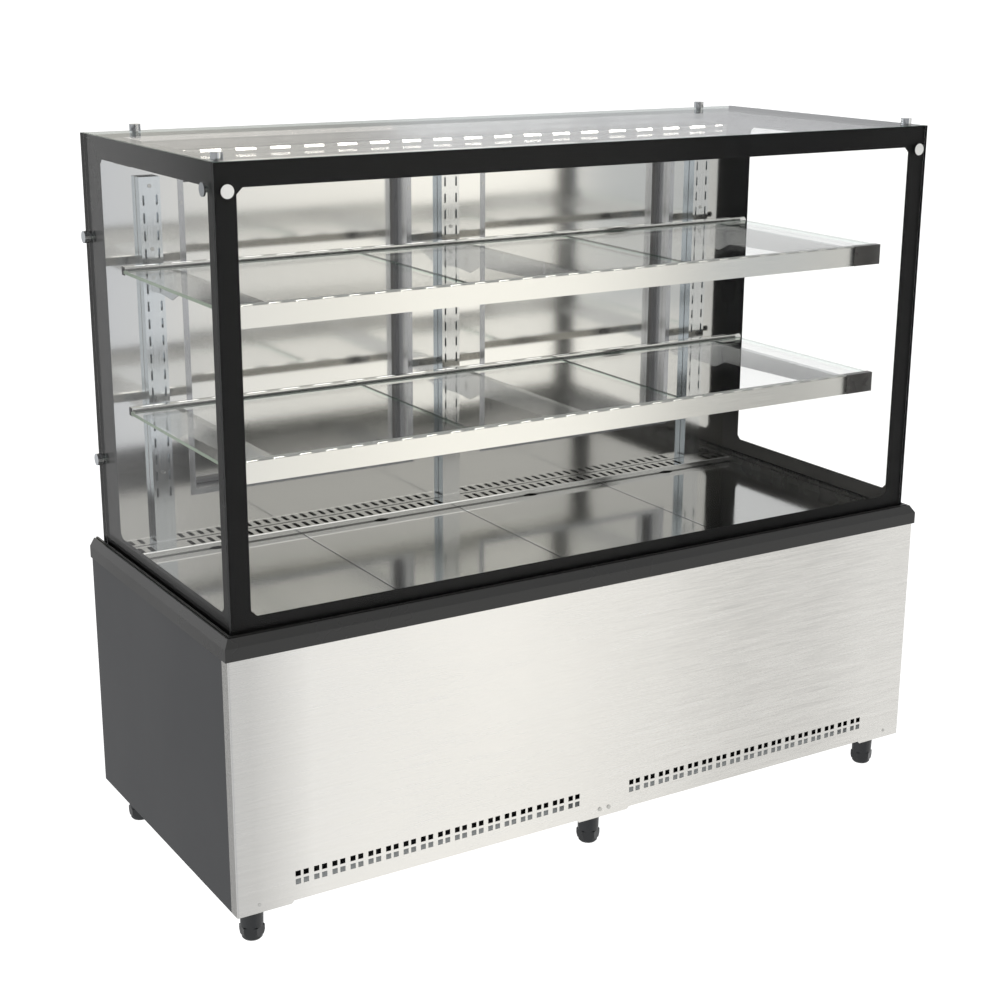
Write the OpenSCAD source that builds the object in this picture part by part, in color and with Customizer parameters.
// Refrigerated bakery display case: steel base with the cooling unit, insulated
// well, glass box with two shelves and two insulated rear doors.
// X runs left to right, Y runs front to rear (the front faces -Y), Z is up.
// The origin is on the floor under the middle of the outline. Units are mm.

/* [Case] */
// overall width across the bumper trim
case_w = 1500; // [1480:5:1540]
// overall depth of the base, bumper front to the rear edge of the sides
case_d = 640; // [630:5:660]
// height of the glass top above the floor
case_h = 1320; // [1310:1:1340]
// height of the bottom edge of the panels above the floor
skirt_z = 72; // [68:1:76]
// height where the bumper trim starts
base_top = 531; // [528:1:534]

/* [Glass box] */
// thickness of the front, side and top panes
glass_t = 6; // [5:0.5:6]
// how far the glass stands in from the bumper's outer face
glass_in = 20.7; // [20.2:0.1:21.2]
// thickness of the fired black border layer
frit_t = 0.3; // [0.2:0.05:0.4]
// black border width, upright sides of the front pane
band_front_side = 38.5; // [34:0.5:44]
// black border height along the top of the front and side panes
band_top = 40; // [36:0.5:46]
// black border height along the bottom of the front and side panes
band_bottom = 35; // [30:0.5:40]
// black border around the top pane
band_roof = 56; // [50:1:60]
// rear edge of the side and top panes
glass_rear_y = 295; // [290:1:300]

/* [Shelves] */
// height of the top face of the upper shelf glass
shelf_top_z = 1086; // [1084:1:1088]
// number of upright slots between the two shelves
shelf_steps = 8; // [6:1:9]
// spacing of the slots in the uprights
slot_pitch = 32; // [31.5:0.25:32.5]
// half length of a shelf
shelf_half = 701; // [695:1:704]
// front face of the shelf rail
shelf_front_y = -222; // [-228:1:-216]
// shelf glass thickness
shelf_glass_t = 6; // [5:0.5:6]
// height of the shelf's front rail
rail_h = 38; // [34:1:42]
// length of the black end of each rail
rail_cap_l = 65; // [50:1:75]

/* [Rear wall and doors] */
// front face of the rear wall
wall_y = 270; // [268:1:272]
// thickness of the rear wall
wall_t = 42; // [40:1:44]
// clear half gap between the two openings
open_in = 90; // [85:1:100]
// clear outer edge of each opening
open_out = 551; // [540:1:556]
// clear bottom of the openings
open_z0 = 647; // [640:1:660]
// clear top of the openings
open_z1 = 1230; // [1220:1:1232]
// door leaf thickness
door_t = 22; // [20:1:24]
// radius of the door hinge pins
hinge_r = 4; // [3.5:0.5:4.5]
// radial running clearance of pins and shafts
run_gap = 0.05; // [0.03:0.01:0.09]

/* [Deck] */
// height of the deck panels
deck_z = 539; // [537:0.5:541]
// half width of the deck opening
deck_half = 709; // [707:0.5:711]
// front edge of the air grille
grille_y = 224.5; // [220:0.5:228]
// height of the raised air grille
grille_z = 551; // [549:0.5:553]
// spacing of the grille slots
grille_pitch = 20; // [20:1:22]

/* [Front panel] */
// side of one square vent hole
vent_sq = 10; // [8:0.5:11]
// clusters in each vent group
vent_n = 17; // [8:1:17]
// spacing of the vent clusters
vent_pitch = 34.75; // [33:0.25:34.75]

/* [Feet] */
// distance of the outer feet from the middle
foot_x = 698; // [690:1:705]
// distance of the feet rows from the middle
foot_y = 266; // [260:1:272]
// radius of the levelling stem
stem_r = 6; // [5:0.5:7]

/* [View] */

/* [Hidden] */

// base outline and sheet metal
half_w = case_w/2;
front_y = -case_d/2;
rear_y = case_d/2;
sheet_t = 1.2;
panel_x = half_w - 4.5;            // outer face of the side panels
panel_y = front_y + 2;             // outer face of the front panel
panel_in_x = panel_x - sheet_t;    // inner face of the side panels
return_y = 25;                     // depth of the front panel's side returns
corner_r = 2.5;                    // rounded corners of the front panel
// front panel screws: x, z, head radius, head thickness
front_screws = [[-705, 87, 3.2, 0.6], [705, 87, 3.2, 0.6], [-10, 87.7, 4, 1.6], [10, 87.7, 4, 1.6]];

// chassis levels
floor_z = skirt_z + sheet_t;       // underside of the floor frame
frame_top = skirt_z + 31;
platform_z = skirt_z + 34;         // top of the platforms the cooling parts stand on

// bumper and the strips inside it
lip_in = 16.6;                     // bumper's outer face to the inner side of its lip
channel_w = 14.4;                  // width of the glass channel
strip_in = lip_in + channel_w;     // bumper's outer face to the breaker strip
step_h = 19;                       // height of the bumper's inner step
pane_lift = 25;                    // bottom edge of the glass above base_top

// glass box
pane_x = half_w - glass_in;        // outer face of the side glass
pane_y = front_y + glass_in;       // outer face of the front glass
pane_z = base_top + pane_lift;     // bottom edge of the glass
pane_in_x = pane_x - glass_t;
pane_in_y = pane_y + glass_t;
layer_gap = 0.06;                  // clearance between the glass and the layers against it
frit_x = pane_in_x - frit_t;       // inner face of the side border layer
frit_y = pane_in_y + frit_t;       // inner face of the front border layer
roof_z = case_h - glass_t;         // underside of the top glass
wall_top = roof_z - frit_t;

// glass clamps: a disc or stud outside each hole
front_clamp = [709, 1276];         // x, z
side_clamp = [-257.6, 1276];       // y, z
side_studs = [[wall_y + 11, 728], [wall_y + 11, 1138]];   // y, z
side_holes = concat([side_clamp], side_studs);
rear_roof_stud = [632, 283];       // x, y
roof_studs = [[708, -263], rear_roof_stud];
clamp_hole_r = 5.2;
clamp_shank_r = 5;
bolt_r = 4;                        // threaded ends of the studs
bolt_hole_r = 4.2;

// shelves and their uprights
shelf_low_z = shelf_top_z - shelf_steps*slot_pitch;
shelf_levels = [shelf_top_z, shelf_low_z];
post_xs = [-622, 0, 622];
post_clear = 32;                   // grille slots keep this far from an outer upright
post_w = 40;
post_h = 690;
post_t = 2;
post_y = wall_y - 18;              // front face of the uprights
slot_x = 12.5;                     // slot columns, from the middle of an upright
slot_len = 18.5;
slot_w = 3.6;
slot_top = shelf_top_z + 123;      // top of the highest slot
slot_n = 18;
shelf_glass_front = shelf_front_y + 14;
shelf_glass_rear = 200;
rear_rail_y = 203;
rear_half = shelf_half - 7.5;      // half length of the rear rail
cap_x = shelf_half - rail_cap_l;   // where the black end of a front rail starts
canopy_y = 226;                    // front face of the canopy light
canopy_z = 1287;                   // its top

// rear wall, openings and doors
wall_rear_y = wall_y + wall_t;
liner_t = 2;
liner_flange = 11;
open_cx = (open_in + open_out)/2;
open_w = open_out - open_in;
open_cz = (open_z0 + open_z1)/2;
open_h = open_z1 - open_z0;
door_lap = 18;                     // door overlap around the opening
door_y = wall_rear_y + 1;          // front face of the doors
door_rear_y = door_y + door_t;
door_in = open_in - door_lap;
door_out = open_out + door_lap;
door_z0 = open_z0 - door_lap;
door_z1 = open_z1 + door_lap;
hinge_x = door_out - 7;
hinge_y = door_y + 9;
handle_rear_y = door_rear_y + 30;
centre_y = (front_y + handle_rear_y)/2;   // middle of the outline, put at Y = 0

// well
tub_z0 = 395;                      // underside of the tub
tub_floor = 440;
ledge_z = deck_z - 10;
drain_x = 500;
drain_r = 10;

// feet: x, y
FEET = [for (y = [-foot_y, foot_y], x = [-foot_x, 0, foot_x]) [x, y]];
foot_h = 24.5;

// fans
evap_fan_x = 300;
evap_fan_y = 70;
evap_fan_z = 486;
evap_shaft_r = 2.5;
cond_fan_x = -430;
cond_fan_z = 240;
cond_shaft_r = 5;

// controls on the rear panel
control_z = 340;
switch_xs = [596, 630];            // power switch, light switch
cord_x = 600;
cord_z = 150;

steel = [0.75, 0.76, 0.77];
dark = [0.33, 0.34, 0.35];
black = [0.09, 0.09, 0.1];
clear = [0.75, 0.9, 0.85, 0.35];

// ---------- shared shapes ----------
module box(x0, x1, y0, y1, z0, z1) {
  translate([x0, y0, z0]) cube([x1-x0, y1-y0, z1-z0]);
}
module cyl_x(x0, x1, y, z, radius, sides=48) {
  translate([x0, y, z]) rotate([0, 90, 0]) cylinder(h=x1-x0, r=radius, $fn=sides);
}
module cyl_y(y0, y1, x, z, radius, sides=48) {
  translate([x, y0, z]) rotate([-90, 0, 0]) cylinder(h=y1-y0, r=radius, $fn=sides);
}
module cyl_z(z0, z1, x, y, radius, sides=48) {
  translate([x, y, z0]) cylinder(h=z1-z0, r=radius, $fn=sides);
}
// plate in the XZ plane from a 2D shape in (x, z)
module plate_y(y0, y1) { translate([0, y1, 0]) rotate([90, 0, 0]) linear_extrude(y1-y0) children(); }
// plate in the YZ plane from a 2D shape in (y, z)
module plate_x(x0, x1) { translate([x0, 0, 0]) rotate([90, 0, 90]) linear_extrude(x1-x0) children(); }
// the children as drawn and mirrored to the other side
module both_sides() { for (flip = [0, 1]) mirror([flip, 0, 0]) children(); }
module chamfer_rect(x0, x1, y0, y1, cut) {
  polygon([[x0+cut, y0], [x1-cut, y0], [x1, y0+cut], [x1, y1-cut],
           [x1-cut, y1], [x0+cut, y1], [x0, y1-cut], [x0, y0+cut]]);
}
// rectangular frame of the given border width
module frame_2d(x0, x1, y0, y1, border) {
  difference() {
    translate([x0, y0]) square([x1-x0, y1-y0]);
    translate([x0+border, y0+border]) square([x1-x0-2*border, y1-y0-2*border]);
  }
}
module obround(width, length) {
  union() {
    translate([-width/2, -length/2+width/2]) square([width, length-width]);
    for (side = [1, -1])
      translate([0, side*(length/2-width/2)]) circle(d=width, $fn=24);
  }
}
// U-shaped run (left, front, right) of a profile given as (distance in, height),
// mitred at the front corners; half_x and y0 are its outer faces
module u_run(half_x, y0, y1, deep) {
  union() {
    intersection() {
      translate([-half_x, y0, 0]) rotate([90, 0, 90]) linear_extrude(2*half_x) children();
      linear_extrude(2000)
        polygon([[-half_x, y0], [half_x, y0], [half_x-deep, y0+deep], [-half_x+deep, y0+deep]]);
    }
    both_sides() intersection() {
      translate([-half_x, y1, 0]) rotate([90, 0, 0]) linear_extrude(y1-y0) children();
      linear_extrude(2000)
        polygon([[-half_x, y0], [-half_x+deep, y0+deep], [-half_x+deep, y1], [-half_x, y1]]);
    }
  }
}

// ---------- base ----------
module front_screw_holes(y0, y1) {
  for (screw = front_screws) cyl_y(y0, y1, screw[0], screw[1], 2.2, 24);
}

module chassis() {
  bar = 30;
  bar_x = panel_in_x - bar/2;      // middle of the side bars
  bar_y = panel_y + 25;            // front of the front bars
  rear_bar_y = rear_y - 32;        // front of the rear bars
  color(dark) difference() {
    union() {
      // floor frame
      box(-panel_in_x, panel_in_x, bar_y, panel_y+44, floor_z, frame_top);
      box(-panel_in_x, panel_in_x, rear_bar_y, rear_bar_y+bar, floor_z, frame_top);
      for (x = [-bar_x, bar_x])
        box(x-bar/2, x+bar/2, bar_y, rear_bar_y+bar, floor_z, frame_top);
      for (x = [-240, 240])
        box(x-bar/2, x+bar/2, panel_y+30, rear_y-20, floor_z, frame_top);
      // bottom pan
      box(-panel_in_x+20, panel_in_x-20, panel_y+40, rear_y-30, floor_z, floor_z+sheet_t);
      // foot plates
      for (foot = FEET)
        box(foot[0]-30, foot[0]+30, foot[1]-30, foot[1]+30, floor_z, skirt_z+15);
      // posts
      for (x = [-bar_x, bar_x], y = [bar_y, rear_bar_y])
        box(x-bar/2, x+bar/2, y, y+bar, skirt_z+20, tub_z0);
      // tub rails
      for (y = [bar_y, rear_bar_y])
        box(-panel_in_x, panel_in_x, y, y+bar, tub_z0-25, tub_z0);
      // compressor platform
      box(-250, 250, -60, 240, platform_z-4, platform_z);
      // condenser platform
      box(-panel_in_x+5, -252, panel_y+58, -90, platform_z-4, platform_z);
      // electrical and drain platform
      box(252, panel_in_x-5, -150, 280, platform_z-4, platform_z);
      // tabs the front panel is screwed to: x, half width
      for (tab = [[-705, 9], [0, 22], [705, 9]])
        box(tab[0]-tab[1], tab[0]+tab[1], panel_y+sheet_t, panel_y+30, skirt_z+8, skirt_z+24);
    }
    for (foot = FEET) cyl_z(skirt_z-1, skirt_z+40, foot[0], foot[1], stem_r+run_gap);
    front_screw_holes(panel_y, panel_y+15);
  }
}

module foot_sockets() color(black) for (foot = FEET) translate([foot[0], foot[1], 0])
  difference() {
    translate([0, 0, foot_h]) cylinder(h=floor_z-foot_h, r1=19.9, r2=21.4, $fn=64);
    translate([0, 0, foot_h-1]) cylinder(h=skirt_z, r=stem_r+1.5, $fn=48);
  }

module foot(i) {
  nut_z = 8;
  stem_z = 12;
  color(black) translate([FEET[i][0], FEET[i][1], 0]) union() {
    // round pad
    cylinder(h=3, r1=15.6, r2=18.2, $fn=64);
    translate([0, 0, 3]) cylinder(h=7, r=18.2, $fn=64);
    // hexagonal body trimmed by a cone
    intersection() {
      translate([0, 0, nut_z]) rotate([0, 0, -32]) cylinder(h=foot_h-nut_z, r=22.3, $fn=6);
      translate([0, 0, nut_z]) cylinder(h=foot_h-nut_z, r1=20.6, r2=24.5, $fn=64);
    }
    translate([0, 0, stem_z]) cylinder(h=frame_top-stem_z, r=stem_r, $fn=48);
  }
}

// right side panel with its bottom and rear returns
module side_panel() {
  start_y = panel_y + return_y + 0.2;
  color(dark) union() {
    box(panel_in_x, panel_x, start_y, rear_y, skirt_z, base_top);
    box(panel_x-20, panel_in_x, start_y, rear_y, skirt_z, floor_z);
    box(panel_x-14, panel_in_x, rear_y-sheet_t, rear_y, floor_z, base_top);
  }
}

// clusters of four square holes in two mirrored groups
module vents() {
  both_sides() for (i = [0:vent_n-1], dx = [0, 15], dz = [0, 15])
    translate([-637.5+i*vent_pitch+dx, 106+dz]) square([vent_sq, vent_sq]);
}
module front_panel() {
  face_x = panel_x - corner_r;     // half width of the flat face
  tab_h = 4.8;
  // lower tabs: left end, right end, slope of the left end, slope of the right end
  tabs = [[-face_x, -641, 0, 4], [-57, 57, 4, 4], [641, face_x, 4, 0]];
  color(steel) difference() {
    union() {
      plate_y(panel_y, panel_y+sheet_t) difference() {
        union() {
          translate([-face_x, skirt_z+tab_h]) square([2*face_x, base_top-skirt_z-tab_h]);
          for (tab = tabs)
            polygon([[tab[0], skirt_z], [tab[1]-tab[3], skirt_z],
                     [tab[1], skirt_z+tab_h], [tab[0]-tab[2], skirt_z+tab_h]]);
        }
        vents();
      }
      // rounded corners and side returns
      both_sides() translate([0, 0, skirt_z]) linear_extrude(base_top-skirt_z) union() {
        intersection() {
          difference() {
            translate([-face_x, panel_y+corner_r]) circle(r=corner_r, $fn=48);
            translate([-face_x, panel_y+corner_r]) circle(r=corner_r-sheet_t, $fn=48);
          }
          translate([-panel_x, panel_y]) square([corner_r, corner_r]);
        }
        translate([-panel_x, panel_y+corner_r]) square([sheet_t, return_y-corner_r]);
      }
      // top return under the bumper
      box(-face_x, face_x, panel_y+sheet_t, panel_y+20, base_top-sheet_t, base_top);
    }
    front_screw_holes(panel_y-1, panel_y+3);
  }
}

module rear_panel() {
  // banks of upright slots: first x, number of columns
  banks = [[-560, 11], [-84, 10]];
  color(steel) plate_y(rear_y-sheet_t, rear_y) difference() {
    translate([-panel_x+14, skirt_z+4]) square([2*panel_x-28, base_top-skirt_z-4]);
    for (bank = banks, i = [0:bank[1]-1], z = [140, 220, 300])
      translate([bank[0]+i*28, z]) obround(8, 60);
    // controller, switches, cord
    translate([484.5, control_z-14.5]) square([73, 29]);
    for (x = switch_xs) translate([x-9.5, control_z-13.5]) square([19, 27]);
    translate([cord_x, cord_z]) circle(r=8, $fn=48);
  }
}

module bumper() {
  deep = 39;
  color(dark) u_run(half_w, front_y, rear_y-4, deep) translate([0, base_top])
    polygon([[0, 0], [deep, 0], [deep, step_h], [lip_in, step_h], [lip_in, 38], [12.6, 38],
             [12.6, 35], [11, 35], [11, 36.6], [8.7, 36.6], [0, 22.4]]);
}
module glass_channel() {
  outer = glass_in - lip_in;               // outer face of the glass in the channel
  inner = outer + glass_t + frit_t;
  color(black) u_run(half_w-lip_in, front_y+lip_in, glass_rear_y, channel_w)
    translate([0, base_top])
      polygon([[0, step_h], [channel_w, step_h], [channel_w, 31], [inner, 31],
               [inner, pane_lift], [outer, pane_lift], [outer, 32.5], [0, 32.5]]);
}
module breaker_strip() color([0.2, 0.2, 0.21])
  u_run(half_w-strip_in, front_y+strip_in, wall_y, 10) translate([0, base_top])
    polygon([[0, step_h], [0, 29], [5, 29], [5, 22], [10, 22], [10, 0], [8, 0], [8, step_h]]);

module insulated_tub() color([0.8, 0.8, 0.78]) difference() {
  box(-735, 735, panel_y+20.5, rear_y-8, tub_z0, base_top);
  // well
  box(-690, 690, -262, 222, tub_floor, base_top+1);
  // ledge for the deck and the grille
  box(-deck_half, deck_half, front_y+41, wall_y, ledge_z, base_top+1);
  // drain
  cyl_z(tub_z0-1, tub_floor+1, drain_x, 0, drain_r);
}

// four folded panels side by side
module deck_panels() {
  width = deck_half/2;
  y0 = front_y + 41.2;
  y1 = grille_y - 0.7;
  under = deck_z - sheet_t;
  color(steel) for (i = [0:3]) {
    x0 = -deck_half + i*width + 0.3;
    x1 = x0 + width - 0.6;
    difference() {
      union() {
        box(x0, x1, y0, y1, under, deck_z);
        for (y = [y0, y1-sheet_t]) box(x0, x1, y, y+sheet_t, ledge_z, under);
        for (x = [x0, x1-sheet_t])
          box(x, x+sheet_t, y0+sheet_t, y1-sheet_t, ledge_z, under);
      }
      // finger notch: a round-ended cut in the rear edge
      translate([(x0+x1)/2, y1, deck_z-11]) linear_extrude(12) intersection() {
        translate([0, 12]) circle(r=21, $fn=96);
        translate([-20, -12]) square([40, 13]);
      }
    }
  }
}

// true where a grille slot misses the uprights and the grille's end
function slot_fits(x) = x > 28 && abs(x-post_xs[2]) > post_clear && x < deck_half-8;
module air_grille() {
  under = grille_z - sheet_t;
  color(steel) union() {
    translate([0, 0, under]) linear_extrude(sheet_t) difference() {
      translate([-deck_half, grille_y]) square([2*deck_half, wall_y-grille_y]);
      for (side = [-1, 1], k = [0:33]) {
        x = 36 + k*grille_pitch;
        if (slot_fits(x)) translate([side*x, grille_y+19]) obround(9, 30);
      }
    }
    // upright front edge
    box(-deck_half, deck_half, grille_y, grille_y+sheet_t, ledge_z, under);
    // rear foot
    box(-deck_half, deck_half, wall_y-sheet_t, wall_y, ledge_z, under);
  }
}

// ---------- rear wall ----------
module rear_frame() color(steel) difference() {
  plate_y(wall_y, wall_rear_y) difference() {
    union() {
      translate([-half_w+39, base_top]) square([2*half_w-78, 40]);
      translate([-frit_x, base_top+31]) square([2*frit_x, wall_top-base_top-31]);
    }
    for (side = [-1, 1])
      translate([side*open_cx-open_w/2-liner_t, open_z0-liner_t])
        square([open_w+2*liner_t, open_h+2*liner_t]);
  }
  // bolt holes of the side studs and rear roof studs
  both_sides() {
    for (stud = side_studs) cyl_x(frit_x-20, frit_x+1, stud[0], stud[1], bolt_hole_r, 32);
    cyl_z(wall_top-20, wall_top+1, rear_roof_stud[0], rear_roof_stud[1], bolt_hole_r, 32);
  }
}
// frame around an opening, standing out by the border width
module opening_frame(border) {
  frame_2d(-open_w/2-border, open_w/2+border, open_z0-border, open_z1+border, border);
}
module opening_liners() color([0.52, 0.53, 0.54])
  for (side = [-1, 1]) translate([side*open_cx, 0, 0]) union() {
    plate_y(wall_y, wall_rear_y-1) opening_frame(liner_t);
    plate_y(wall_y-1, wall_y) opening_frame(liner_flange);
  }
// wall plate, arm and pin above and below each door
module hinge_brackets() {
  x0 = hinge_x - 14;
  x1 = hinge_x + 14;
  // door end height, flipped or not
  ends = [[door_z1, 0], [door_z0, 1]];
  color(steel) both_sides() union() for (end = ends)
    translate([0, 0, end[0]]) mirror([0, 0, end[1]]) {
      box(x0, x1, wall_rear_y, wall_rear_y+2.5, 2, 28);
      box(x0, x1, wall_rear_y, door_rear_y, 1, 4);
      cyl_z(-11, 2, hinge_x, hinge_y, hinge_r);
    }
}
// right door
module door() {
  foot_x0 = door_in + 22;          // inner side of the handle's feet
  grip_y = door_rear_y + 24;
  color(steel) union() {
    difference() {
      translate([0, 0, door_z0]) linear_extrude(door_z1-door_z0)
        polygon([[door_in, door_y], [door_out-6, door_y], [door_out, door_y+6],
                 [door_out, door_rear_y], [door_in, door_rear_y]]);
      cyl_z(door_z1-12, door_z1+1, hinge_x, hinge_y, hinge_r+run_gap);
      cyl_z(door_z0-1, door_z0+12, hinge_x, hinge_y, hinge_r+run_gap);
    }
    // bow handle
    for (z = [open_cz-80, open_cz+68]) box(foot_x0, foot_x0+12, door_rear_y, grip_y, z, z+12);
    box(foot_x0-2, foot_x0+14, grip_y, handle_rear_y, open_cz-84, open_cz+84);
  }
}
// right door seal
module door_seal() color(black) plate_y(wall_rear_y-9, door_y)
  frame_2d(open_in+1, open_out-1, open_z0+1, open_z1-1, 7);

// ---------- glass ----------
module front_glass() color(clear) difference() {
  box(-pane_x, pane_x, pane_y, pane_in_y, pane_z, case_h);
  for (side = [-1, 1])
    cyl_y(pane_y-1, pane_in_y+1, side*front_clamp[0], front_clamp[1], clamp_hole_r, 32);
}
// right pane
module side_glass() color(clear) difference() {
  box(pane_in_x, pane_x, frit_y, glass_rear_y, pane_z, case_h);
  for (hole = side_holes) cyl_x(pane_in_x-1, pane_x+1, hole[0], hole[1], clamp_hole_r, 32);
}
module top_glass() color(clear) difference() {
  box(-frit_x, frit_x, frit_y, glass_rear_y, roof_z, case_h);
  for (side = [-1, 1], stud = roof_studs)
    cyl_z(roof_z-1, case_h+1, side*stud[0], stud[1], clamp_hole_r, 32);
}
module frit_borders() color(black) {
  // front
  plate_y(pane_in_y+layer_gap, frit_y) difference() {
    translate([-pane_x, pane_z]) square([2*pane_x, case_h-pane_z]);
    chamfer_rect(-pane_x+band_front_side, pane_x-band_front_side,
                 pane_z+band_bottom, case_h-band_top, 10.5);
    for (side = [-1, 1])
      translate([side*front_clamp[0], front_clamp[1]]) circle(r=clamp_hole_r, $fn=32);
  }
  // sides
  both_sides() plate_x(frit_x, pane_in_x-layer_gap) difference() {
    translate([frit_y, pane_z]) square([glass_rear_y-frit_y, case_h-pane_z]);
    chamfer_rect(pane_y+41, glass_rear_y-79, pane_z+band_bottom+1, case_h-band_top, 8.7);
    for (hole = side_holes) translate(hole) circle(r=clamp_hole_r, $fn=32);
  }
  // roof
  translate([0, 0, wall_top]) linear_extrude(frit_t-layer_gap) difference() {
    translate([-frit_x, frit_y]) square([2*frit_x, glass_rear_y-frit_y]);
    chamfer_rect(-pane_x+band_roof, pane_x-band_roof,
                 pane_y+band_roof+2, glass_rear_y-band_roof+2, 6);
    for (side = [-1, 1], stud = roof_studs)
      translate([side*stud[0], stud[1]]) circle(r=clamp_hole_r, $fn=32);
  }
}
module glass_clamps() {
  disc_t = 3;
  disc_r = 11;
  color([0.85, 0.86, 0.87]) both_sides() {
    // front disc
    cyl_y(pane_y-disc_t, pane_y, front_clamp[0], front_clamp[1], disc_r, 64);
    cyl_y(pane_y, frit_y, front_clamp[0], front_clamp[1], clamp_shank_r, 32);
    // side disc at the front corner, and the shanks of all side clamps
    cyl_x(pane_x, pane_x+disc_t, side_clamp[0], side_clamp[1], disc_r, 64);
    for (hole = side_holes) cyl_x(frit_x, pane_x, hole[0], hole[1], clamp_shank_r, 32);
    // rear studs
    for (stud = side_studs) {
      cyl_x(pane_x, pane_x+10, stud[0], stud[1], disc_r, 64);
      cyl_x(frit_x-18, frit_x, stud[0], stud[1], bolt_r, 32);
    }
    // roof studs
    for (stud = roof_studs) {
      cyl_z(case_h, case_h+12, stud[0], stud[1], 10, 64);
      cyl_z(wall_top, case_h, stud[0], stud[1], clamp_shank_r, 32);
    }
    cyl_z(wall_top-18, wall_top, rear_roof_stud[0], rear_roof_stud[1], bolt_r, 32);
  }
}
module corner_blocks() {
  bottom = 1266;
  color(black) both_sides() union() {
    translate([frit_x, frit_y, bottom]) linear_extrude(wall_top-bottom)
      polygon([[0, 0], [0, 22], [-8, 22], [-23, 7], [-23, 0]]);
    // arm along the side glass
    box(frit_x-10, frit_x, frit_y, -246, 1281.5, wall_top);
  }
}

// ---------- shelving ----------
// folded channels with two columns of slots
module uprights() {
  top = grille_z + post_h;
  color(steel) for (x = post_xs) translate([x, 0, 0]) union() {
    plate_y(post_y, post_y+post_t) difference() {
      translate([-post_w/2, grille_z]) square([post_w, post_h]);
      for (dx = [-slot_x, slot_x], k = [0:slot_n-1])
        translate([dx, slot_top-slot_len/2-k*slot_pitch]) obround(slot_w, slot_len);
    }
    for (dx = [-post_w/2, post_w/2-post_t])
      box(dx, dx+post_t, post_y+post_t, wall_y, grille_z, top);
    box(-post_w/2+post_t, post_w/2-post_t, wall_y-1.5, wall_y, grille_z, top);
  }
}
// each arm hooks into the right-hand slot column of its upright
module shelf_arms() {
  tip_y = shelf_glass_front + 4;
  heel_y = 202;
  color(steel) for (level = shelf_levels, x = post_xs) translate([x+slot_x, 0, 0]) {
    under = level - shelf_glass_t;
    plate_x(-1, 1) union() {
      polygon([[post_y, level-56], [196, level-60], [161, level-44], [tip_y, level-34],
               [tip_y, under-2], [heel_y, under-2], [heel_y, level-10], [post_y, level-10]]);
      // hooks through the upright slots
      for (z = [level-22, level-54]) translate([post_y, z])
        polygon([[0, 0], [0, 8], [5, 8], [5, -6], [2.4, -6], [2.4, 0]]);
    }
    // top flange
    box(-1, 13, tip_y, heel_y, under-2, under);
  }
}
// three panes side by side
module shelf_glass(level) color(clear) for (i = [-1:1])
  box(i*465-232.2, i*465+232.2, shelf_glass_front, shelf_glass_rear,
      level-shelf_glass_t+layer_gap, level);
module front_rails() {
  lip_y = shelf_glass_front + 4;
  wall = 1.5;
  color(steel) for (level = shelf_levels) {
    bottom = level - rail_h;
    seat = level - shelf_glass_t;
    plate_x(-shelf_half, cap_x)
      polygon([[shelf_front_y, bottom], [lip_y, bottom], [lip_y, bottom+wall],
               [shelf_front_y+wall, bottom+wall], [shelf_front_y+wall, seat-2],
               [lip_y, seat-2], [lip_y, seat], [shelf_glass_front-2, seat],
               [shelf_glass_front-2, level-2], [shelf_front_y, level-2]]);
  }
}
module rail_trims() color(black) for (level = shelf_levels) {
  seat = level - shelf_glass_t;
  // black right end and the dark bead along the top of the rail
  union() {
    box(cap_x, shelf_half, shelf_front_y-0.4, shelf_glass_front, level-rail_h-0.4, level);
    box(cap_x, shelf_half-3, shelf_glass_front, shelf_glass_front+4, seat-2, seat);
    box(-shelf_half, cap_x, shelf_front_y+2, shelf_glass_front, level-2, level);
  }
  // seal between the glass and the rear rail
  box(-rear_half+2, rear_half-2, shelf_glass_rear+0.1, rear_rail_y, level-5, level+1.8);
}
module rear_rails() color(steel) for (level = shelf_levels) union() {
  plate_x(-rear_half, rear_half) translate([rear_rail_y, level])
    polygon([[0, -10], [16, -10], [16, 5], [14.5, 5], [14.5, -8.5],
             [1.5, -8.5], [1.5, 3.5], [13, 3.5], [13, 5], [0, 5]]);
  // round end knob on the right
  cyl_x(rear_half-2, rear_half+15, rear_rail_y+8, level-3, 8, 48);
  cyl_x(rear_half+15, rear_half+18, rear_rail_y+8, level-3, 5, 32);
}
// downward channel with closed ends, against the rear wall
module canopy_light() {
  wall = 1.5;
  bottom = 1262;
  in_y0 = canopy_y + wall;
  in_y1 = wall_y - wall;
  in_z = canopy_z - wall;
  color(steel) union() {
    plate_x(-665, 665)
      polygon([[canopy_y, 1272.5], [in_y0, 1272.5], [in_y0, in_z], [in_y1, in_z],
               [in_y1, bottom], [wall_y, bottom], [wall_y, canopy_z], [canopy_y, canopy_z]]);
    for (x = [-664.25, 664.25]) box(x-wall/2, x+wall/2, in_y0, in_y1, bottom, in_z);
  }
}
module led_strips() color([1, 1, 0.95]) {
  // shelf strips along the top of the front rails
  for (level = shelf_levels) union() {
    box(-shelf_half+4, cap_x-4, shelf_front_y+0.8, shelf_front_y+2, level-2, level-1);
    for (k = [-14:12])
      box(k*48+15, k*48+33, shelf_front_y, shelf_front_y+2, level-2, level-0.4);
  }
  // canopy strip
  union() {
    box(-650, 650, canopy_y-2.5, canopy_y, canopy_z-2, canopy_z);
    for (k = [-9:8])
      box(k*68.6+14.3, k*68.6+54.3, canopy_y-4.5, canopy_y, canopy_z-4, canopy_z-1);
  }
}

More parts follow.
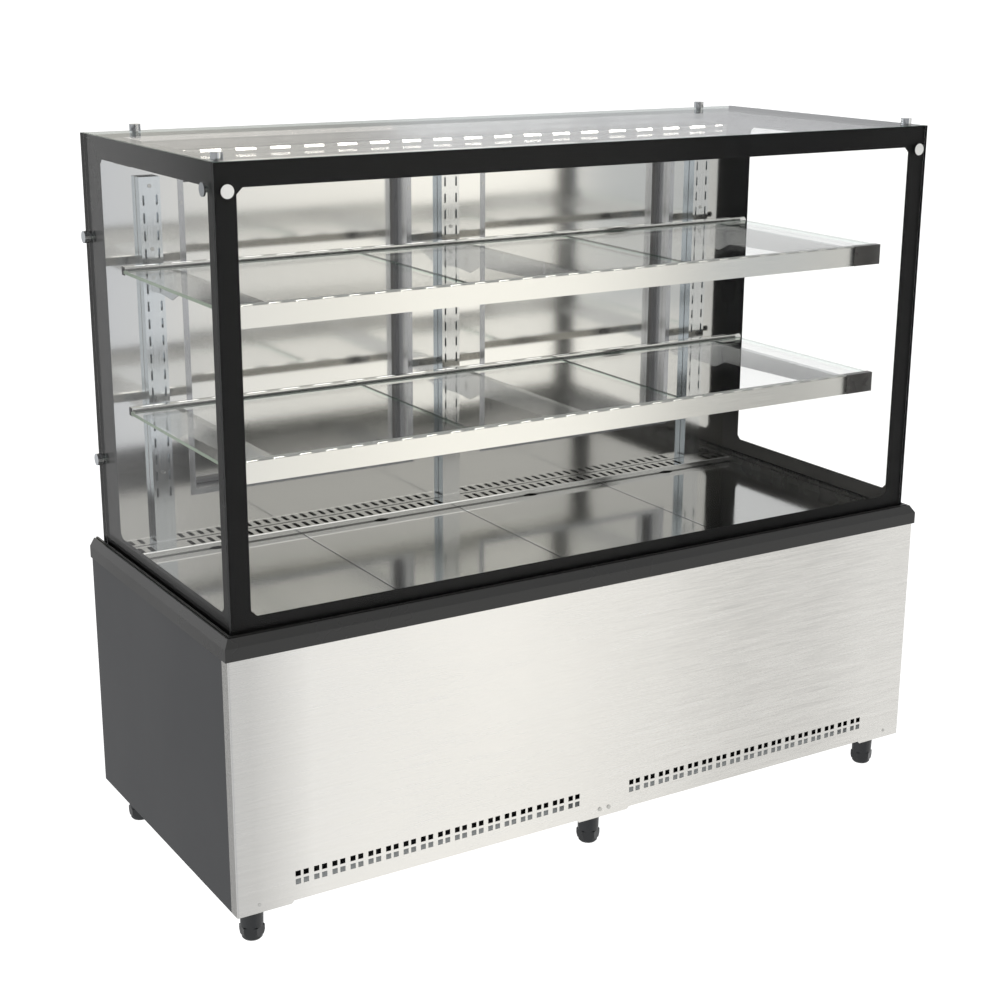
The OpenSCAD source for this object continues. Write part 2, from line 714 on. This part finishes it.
module fasteners() color([0.7, 0.7, 0.7]) {
  // upright screws
  for (x = post_xs, z = [1225, 1112, 694]) cyl_y(post_y-1.6, post_y, x, z, 3.6, 32);
  // liner screws
  for (side = [-1, 1], edge = [-1, 1], z = [open_z0+60, open_cz, open_z1-40])
    cyl_y(wall_y-2, wall_y-1, side*open_cx+edge*(open_w/2+liner_flange/2), z, 2.6, 24);
  // front panel screws
  for (screw = front_screws) {
    cyl_y(panel_y-screw[3], panel_y, screw[0], screw[1], screw[2], 32);
    cyl_y(panel_y, panel_y+12, screw[0], screw[1], 2.1, 24);
  }
  // canopy light screws
  for (x = [-657, 657]) cyl_y(canopy_y-1, canopy_y, x, 1279, 3.2, 32);
  // rear panel screws
  for (x = [-700, -350, 0, 350, 700], z = [90, 515]) cyl_y(rear_y, rear_y+1.6, x, z, 4, 32);
}

// ---------- cooling unit ----------
module evaporator_coil() color([0.75, 0.76, 0.78]) translate([0, -110, tub_floor]) union() {
  // fins, end plates, tubes
  for (k = [0:30]) box(-480+k*32-0.5, -480+k*32+0.5, -45, 45, 4, 70);
  for (x = [-500, 500]) box(x-1, x+1, -50, 50, 0, 76);
  for (y = [-28, 0, 28], z = [20, 54]) cyl_x(-514, 514, y, z, 4.8, 24);
}
module evap_fan_plate() color([0.8, 0.81, 0.82]) union() {
  difference() {
    box(-690, 690, evap_fan_y-1, evap_fan_y+1, tub_floor, ledge_z);
    for (side = [-1, 1])
      cyl_y(evap_fan_y-2, evap_fan_y+2, side*evap_fan_x, evap_fan_z, 37);
  }
  for (side = [-1, 1]) translate([side*evap_fan_x, evap_fan_y, evap_fan_z]) {
    // square shroud, motor on a three-arm spider, shaft
    difference() {
      box(-42, 42, 1, 26, -42, 42);
      cyl_y(0, 27, 0, 0, 38.5, 64);
    }
    cyl_y(16, 26, 0, 0, 14);
    for (angle = [90, 210, 330]) rotate([0, angle, 0]) box(12, 39.5, 20, 26, -2, 2);
    cyl_y(-4, 16, 0, 0, evap_shaft_r, 32);
  }
}
// rotor about the Y axis: hub, pitched blades trimmed to the tip radius, shaft bore
module fan_rotor(hub_r, tip_r, shaft_r, depth, blades) {
  difference() {
    union() {
      rotate([-90, 0, 0]) cylinder(h=depth, r=hub_r, $fn=48);
      for (k = [0:blades-1]) rotate([0, k*360/blades, 0]) intersection() {
        translate([hub_r-1.5, depth/2, 0]) rotate([32, 0, 0])
          translate([0, -0.9, -hub_r*0.78]) cube([tip_r-hub_r+8, 1.8, hub_r*1.56]);
        rotate([-90, 0, 0]) cylinder(h=depth, r=tip_r, $fn=96);
      }
    }
    translate([0, -1, 0]) rotate([-90, 0, 0])
      cylinder(h=depth+2, r=shaft_r+run_gap, $fn=48);
  }
}
module evap_fan(side) color(black)
  translate([side*evap_fan_x, evap_fan_y-3, evap_fan_z])
    fan_rotor(hub_r=14, tip_r=35, shaft_r=evap_shaft_r, depth=18, blades=7);

module compressor() color(black) translate([0, 90, platform_z]) union() {
  // base plate on four round feet
  box(-95, 95, -70, 70, 12, 15);
  for (x = [-82, 82], y = [-58, 58]) translate([x, y, 0]) cylinder(h=12, r=11, $fn=48);
  // shell, its seam ring and domed top
  translate([0, 0, 15]) cylinder(h=130, r=74, $fn=96);
  translate([0, 0, 96]) cylinder(h=8, r=79, $fn=96);
  translate([0, 0, 15]) intersection() {
    translate([0, 0, 70]) sphere(r=106, $fn=96);
    translate([0, 0, 130]) cylinder(h=50, r=74, $fn=96);
  }
  // box on the right side
  box(70, 98, -26, 26, 60, 120);
}
module condenser_coil() color([0.72, 0.73, 0.74])
  translate([cond_fan_x, -205, platform_z]) union() {
    // fins, end plates, tubes
    for (k = [0:20]) box(-150+k*15-0.5, -150+k*15+0.5, -22, 22, 6, 266);
    for (x = [-158, 158]) box(x-1.5, x+1.5, -26, 26, 0, 272);
    for (y = [-11, 11], z = [30:36:246]) cyl_x(-168, 168, y, z, 4.8, 24);
  }
module condenser_shroud() {
  ring_y = -174;
  throat_r = 122;
  color(black) union() {
    plate_y(ring_y-2, ring_y) difference() {
      translate([cond_fan_x-159.5, platform_z]) square([319, 272]);
      translate([cond_fan_x, cond_fan_z]) circle(r=throat_r, $fn=96);
    }
    translate([cond_fan_x, ring_y, cond_fan_z]) rotate([-90, 0, 0]) difference() {
      cylinder(h=46, r=throat_r+4, $fn=96);
      translate([0, 0, -1]) cylinder(h=48, r=throat_r, $fn=96);
    }
    // motor on a cross bracket, and its shaft
    cyl_y(-140, -90, cond_fan_x, cond_fan_z, 34);
    for (angle = [45, 135, 225, 315]) translate([cond_fan_x, 0, cond_fan_z])
      rotate([0, angle, 0]) box(30, throat_r+1, -134, -128, -5, 5);
    cyl_y(-172, -140, cond_fan_x, cond_fan_z, cond_shaft_r, 32);
  }
}
module condenser_fan() color([0.55, 0.56, 0.58])
  translate([cond_fan_x, -170, cond_fan_z])
    fan_rotor(hub_r=30, tip_r=116, shaft_r=cond_shaft_r, depth=28, blades=5);

// straight tube between two points
module tube(from, to, radius) {
  span = to - from;
  length = norm(span);
  translate(from) rotate([0, acos(span[2]/length), atan2(span[1], span[0])])
    cylinder(h=length, r=radius, $fn=24);
}
// tubes through a list of points, with a ball at each bend
module pipe(points, radius) {
  union() {
    for (i = [0:len(points)-2]) tube(points[i], points[i+1], radius);
    if (len(points) > 2)
      for (i = [1:len(points)-2]) translate(points[i]) sphere(r=radius+0.6, $fn=32);
  }
}
// pipe routes are lists of x, y, z
module pipework() color([0.78, 0.45, 0.3]) {
  // discharge line to the condenser
  pipe([[-74, 90, 190], [-130, 90, 190], [-130, 40, 190], [-130, 40, 352],
        [-250, 40, 352], [-250, -194, 352], [-262, -194, 352]], 4);
  // liquid line with the drier
  union() {
    pipe([[-262, -216, 136], [-235, -216, 136], [-235, 20, 136], [-235, 20, 372],
          [135, 20, 372], [135, -150, 372], [135, -150, tub_z0]], 3);
    translate([-235, -140, 136]) rotate([-90, 0, 0]) cylinder(h=120, r=13, $fn=48);
  }
  // suction line from the well
  pipe([[74, 90, 240], [150, 90, 240], [150, -150, 240], [150, -150, tub_z0]], 6);
}
// box, lid and three round stubs on the right side
module electrical_box() color([0.6, 0.61, 0.62]) union() {
  box(330, 500, 140, 260, platform_z, platform_z+117);
  box(324, 506, 134, 266, platform_z+116, platform_z+121);
  for (y = [170, 200, 230]) cyl_x(498, 512, y, platform_z+26, 9, 32);
}
module condensate_tray() color(black) union() {
  difference() {
    box(420, 640, -140, 60, platform_z, platform_z+40);
    box(423, 637, -137, 57, platform_z+3, platform_z+41);
  }
  // drain pipe from the well, its foot cut open above the tray floor
  difference() {
    cyl_z(platform_z+2, tub_floor, drain_x, 0, drain_r-0.05);
    cyl_z(platform_z+11, tub_floor+1, drain_x, 0, 7.5);
    cyl_x(drain_x-10, drain_x+20, 0, platform_z+16, 5, 24);
  }
}

// ---------- controls ----------
function button_x(i) = 534.5 + i*9;
module button(i) color([0.75, 0.76, 0.78])
  cyl_y(rear_y+3.2, rear_y+6.4, button_x(i), control_z, 3.1, 48);
module controller() color(black) {
  translate([0, rear_y, control_z]) difference() {
    union() {
      box(485, 557, -50, 1, -14, 14);
      box(481, 561, 0, 5, -18, 18);
    }
    // recess beside the buttons
    box(489, 527, 3.5, 6, -10, 10);
    // button wells
    for (i = [0:2]) cyl_y(2, 6, button_x(i), 0, 3.2, 48);
  }
  // rocker switch housings with their pivots
  for (x = switch_xs) translate([x, rear_y, control_z]) union() {
    difference() {
      union() {
        box(-9, 9, -22, 1, -13, 13);
        box(-12, 12, 0, 2, -16, 16);
      }
      box(-7.5, 7.5, -12, 3, -11.5, 11.5);
    }
    for (side = [-1, 1]) box(side*8.25-0.75, side*8.25+0.75, 0, 5, -3, 3);
    cyl_x(-8, 8, 2.3, 0, 1.5, 32);
  }
}
module rocker(x) color(black) translate([x, rear_y+1.5, control_z]) difference() {
  intersection() {
    rotate([0, 90, 0]) translate([0, 0, -6.5]) cylinder(h=13, r=10.4, $fn=64);
    box(-6.5, 6.5, -1.2, 10.4, -10.2, 10.2);
  }
  // hollow of the rear face
  cyl_x(-7, 7, 19.8, 0, 13, 64);
  // pivot bore
  cyl_x(-7, 7, 0.8, 0, 1.5+run_gap, 32);
}
module power_cord() {
  cord_r = 4;
  bend_r = 12;
  bend_y = 14;                     // start of the bend behind the panel
  drop_y = bend_y + bend_r;
  color(black) translate([cord_x, rear_y, 0]) union() {
    // gland
    cyl_y(-10, 1, 0, cord_z, 7.9, 48);
    cyl_y(0, 8, 0, cord_z, 12, 48);
    cyl_y(7, bend_y, 0, cord_z, 8, 48);
    // cord with a bend
    cyl_y(12, bend_y, 0, cord_z, cord_r, 32);
    translate([0, bend_y, cord_z-bend_r]) rotate([90, 0, 90])
      rotate_extrude(angle=90, $fn=64) translate([bend_r, 0]) circle(r=cord_r, $fn=32);
    cyl_z(60, cord_z-bend_r, 0, drop_y, cord_r, 32);
    // plug and its two pins
    cyl_z(27, 62, 0, drop_y, 13, 48);
    cyl_z(14, 28, 0, drop_y, 19, 48);
    for (x = [-9.5, 9.5]) cyl_z(0.5, 15, x, drop_y, 2.4, 24);
  }
}

// ---------- nodes ----------
module at() { translate([0, -centre_y, 0]) children(); }
at() chassis();
at() foot_sockets();
at() mirror([1, 0, 0]) side_panel();  // side_panel_left
at() side_panel();  // side_panel_right
at() front_panel();
at() rear_panel();
at() bumper();
at() glass_channel();
at() breaker_strip();
at() insulated_tub();
at() deck_panels();
at() air_grille();
at() rear_frame();
at() opening_liners();
at() hinge_brackets();
at() mirror([1, 0, 0]) door();  // door_left
at() door();  // door_right
at() mirror([1, 0, 0]) door_seal();  // door_seal_left
at() door_seal();  // door_seal_right
at() front_glass();
at() mirror([1, 0, 0]) side_glass();  // side_glass_left
at() side_glass();  // side_glass_right
at() top_glass();
at() frit_borders();
at() glass_clamps();
at() corner_blocks();
at() uprights();
at() fasteners();
at() shelf_arms();
at() shelf_glass(shelf_top_z);  // shelf_glass_upper
at() shelf_glass(shelf_low_z);  // shelf_glass_lower
at() front_rails();
at() rail_trims();
at() rear_rails();
at() canopy_light();
at() led_strips();
at() evaporator_coil();
at() evap_fan_plate();
at() evap_fan(-1);  // evap_fan_left
at() evap_fan(1);  // evap_fan_right
at() compressor();
at() condenser_coil();
at() condenser_shroud();
at() condenser_fan();
at() pipework();
at() electrical_box();
at() condensate_tray();
at() controller();
at() button(0);  // button_set
at() button(1);  // button_up
at() button(2);  // button_down
at() rocker(switch_xs[0]);  // power_switch
at() rocker(switch_xs[1]);  // light_switch
at() power_cord();
at() foot(0);  // foot_1
at() foot(1);  // foot_2
at() foot(2);  // foot_3
at() foot(3);  // foot_4
at() foot(4);  // foot_5
at() foot(5);  // foot_6
